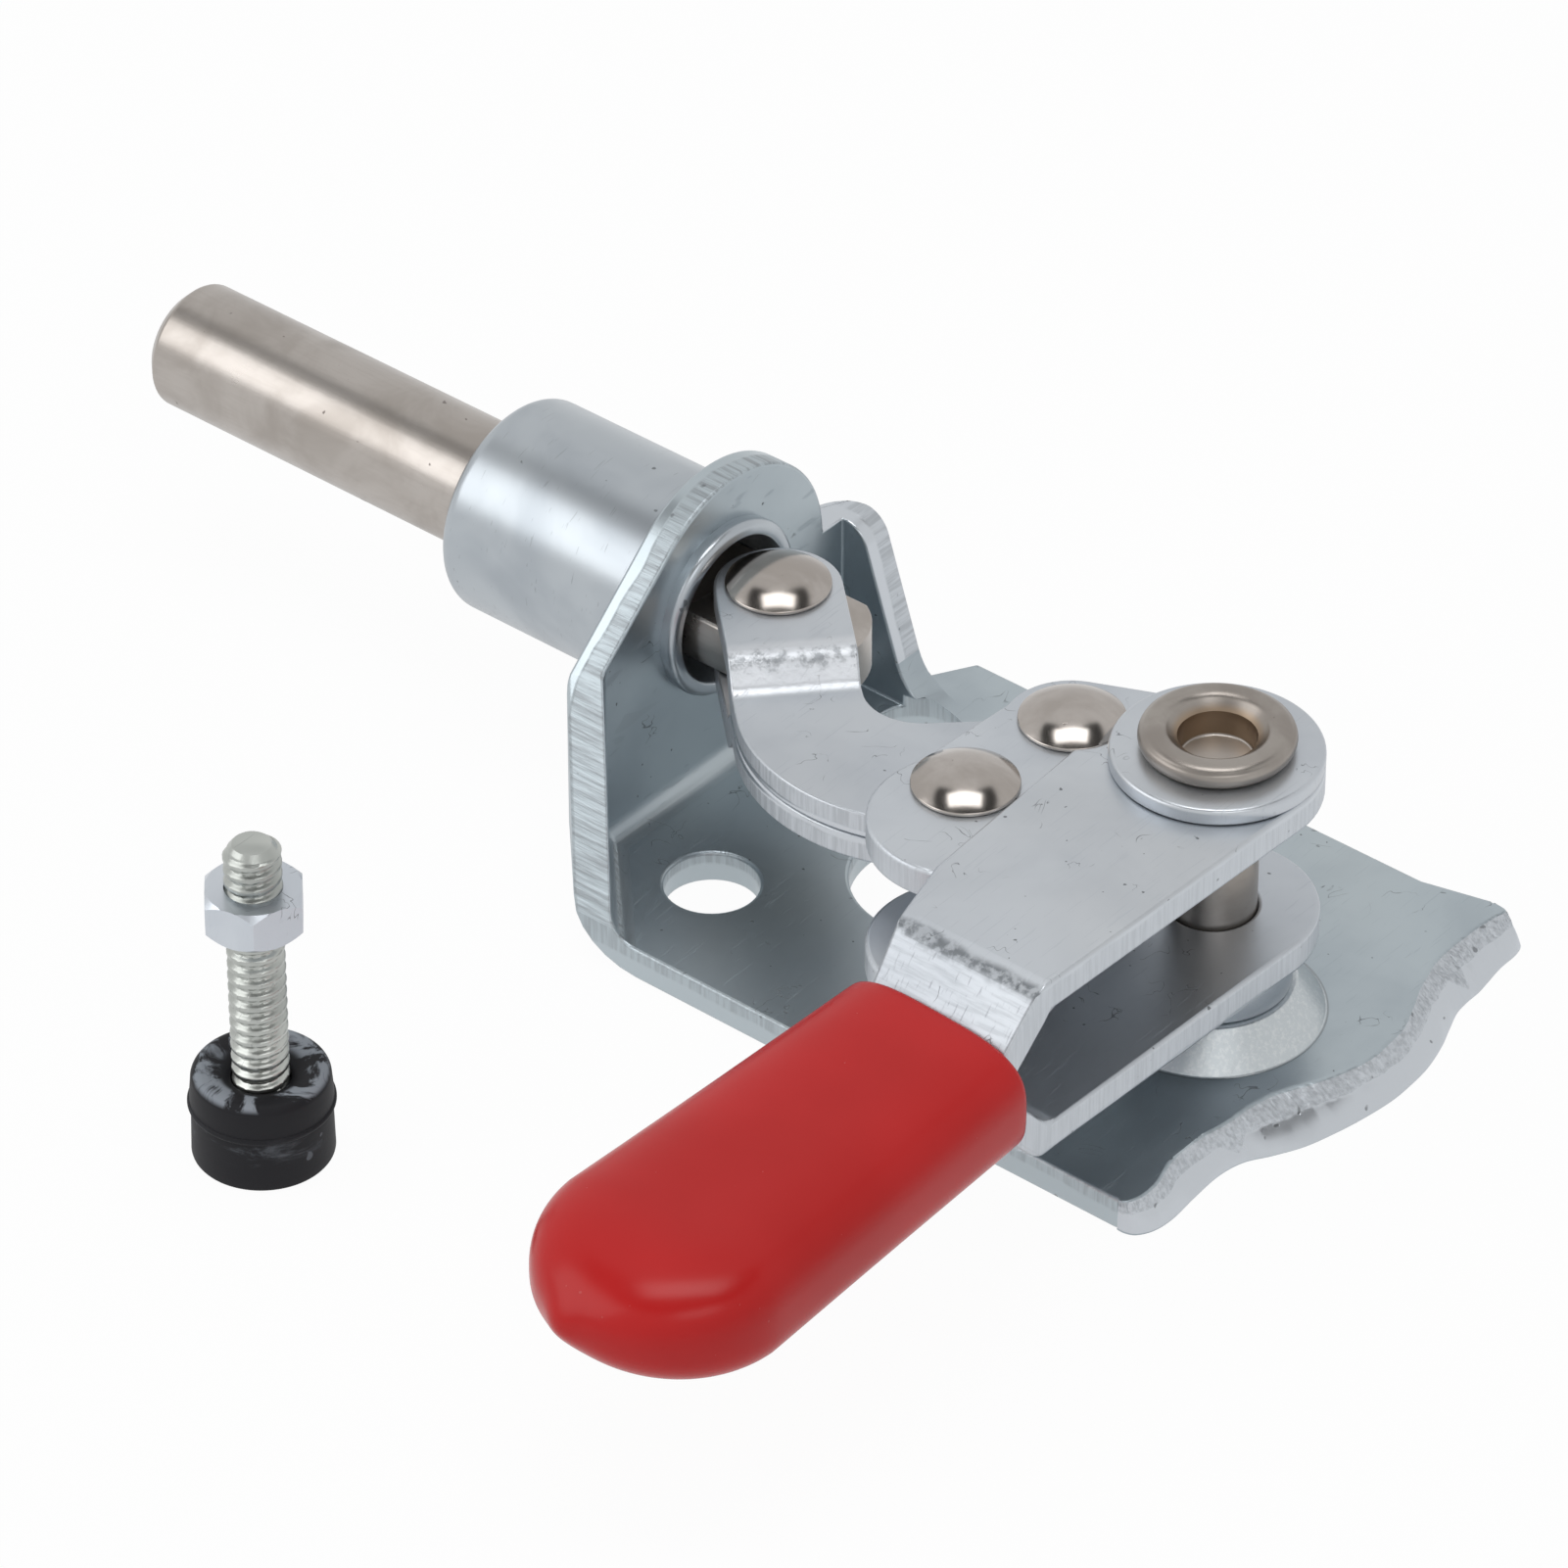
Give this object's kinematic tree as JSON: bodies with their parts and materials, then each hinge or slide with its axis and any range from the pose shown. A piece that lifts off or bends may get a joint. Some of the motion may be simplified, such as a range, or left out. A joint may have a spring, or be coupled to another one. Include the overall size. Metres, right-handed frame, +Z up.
{
  "type": "push-pull toggle clamp",
  "caption": "Flange-mounted push-pull toggle clamp: a flat-swinging red-gripped handle drives a straight-line plunger through a linkage; its rubber-footed pressure spindle stands beside it.",
  "frame": {"origin": "midway between the two mounting holes, on the underside of the base plate", "axes": "+X the way the plunger pushes out, +Y along the handle at rest, +Z up from the mounting surface"},
  "size_m": [0.1362, 0.1116, 0.0335],
  "materials": {
    "zinc_sheet": "stamped sheet steel with bright blue-white zinc plating, satin, fine scratches and pits",
    "zinc_turned": "turned steel with bright zinc plating, smooth satin",
    "nickel_ground": "ground bar with warm nickel plating, fine lengthwise sheen",
    "nickel_rolled": "warm nickel, lightly brushed by the rolling tool",
    "nickel_rivet": "polished nickel",
    "red_vinyl": "dip-moulded vinyl, satin gloss",
    "zinc_thread": "bright zinc plating on rolled thread and nut",
    "black_rubber": "matt moulded rubber with pale handling scuffs"
  },
  "bodies": {
    "root": {"base_plate": "zinc_sheet", "guide_bushing": "zinc_turned", "pivot_pin": "nickel_rolled", "pivot_washer": "zinc_turned", "pivot_spacer": "zinc_turned", "spindle_stud": "zinc_thread", "spindle_nut": "zinc_thread", "spindle_foot": "black_rubber"},
    "handle": {"handle_upper_plate": "zinc_sheet", "handle_lower_plate": "zinc_sheet", "handle_grip": "red_vinyl", "link_rivet": "nickel_rivet", "stop_rivet": "nickel_rivet", "link_spacer_upper": "zinc_turned", "link_spacer_lower": "zinc_turned"},
    "link": {"link_upper_plate": "zinc_sheet", "link_lower_plate": "zinc_sheet", "plunger_rivet_upper": "nickel_rivet", "plunger_rivet_lower": "nickel_rivet"},
    "plunger": {"plunger": "nickel_ground"}
  },
  "joints": [
    {"name": "handle_swing", "type": "hinge", "parent": "root", "child": "handle", "pos_m": [-0.0443, 0, 0.0206], "axis": [0, 0, 1], "range_deg": [0, 145]},
    {"name": "link_fold", "type": "hinge", "parent": "handle", "child": "link", "pos_m": [-0.03063, 0.00253, 0.0206], "axis": [0, 0, 1], "range_deg": [-150.34, 0]},
    {"name": "plunger_slide", "type": "slide", "parent": "root", "child": "plunger", "axis": [-1, 0, 0], "range_m": [0, 0.02671]}
  ],
  "couplings": [
    {"joint": "link_fold", "follows": "handle_swing", "ratio": -1.0368},
    {"joint": "plunger_slide", "follows": "handle_swing", "m_per_rad": 0.010551}
  ]
}
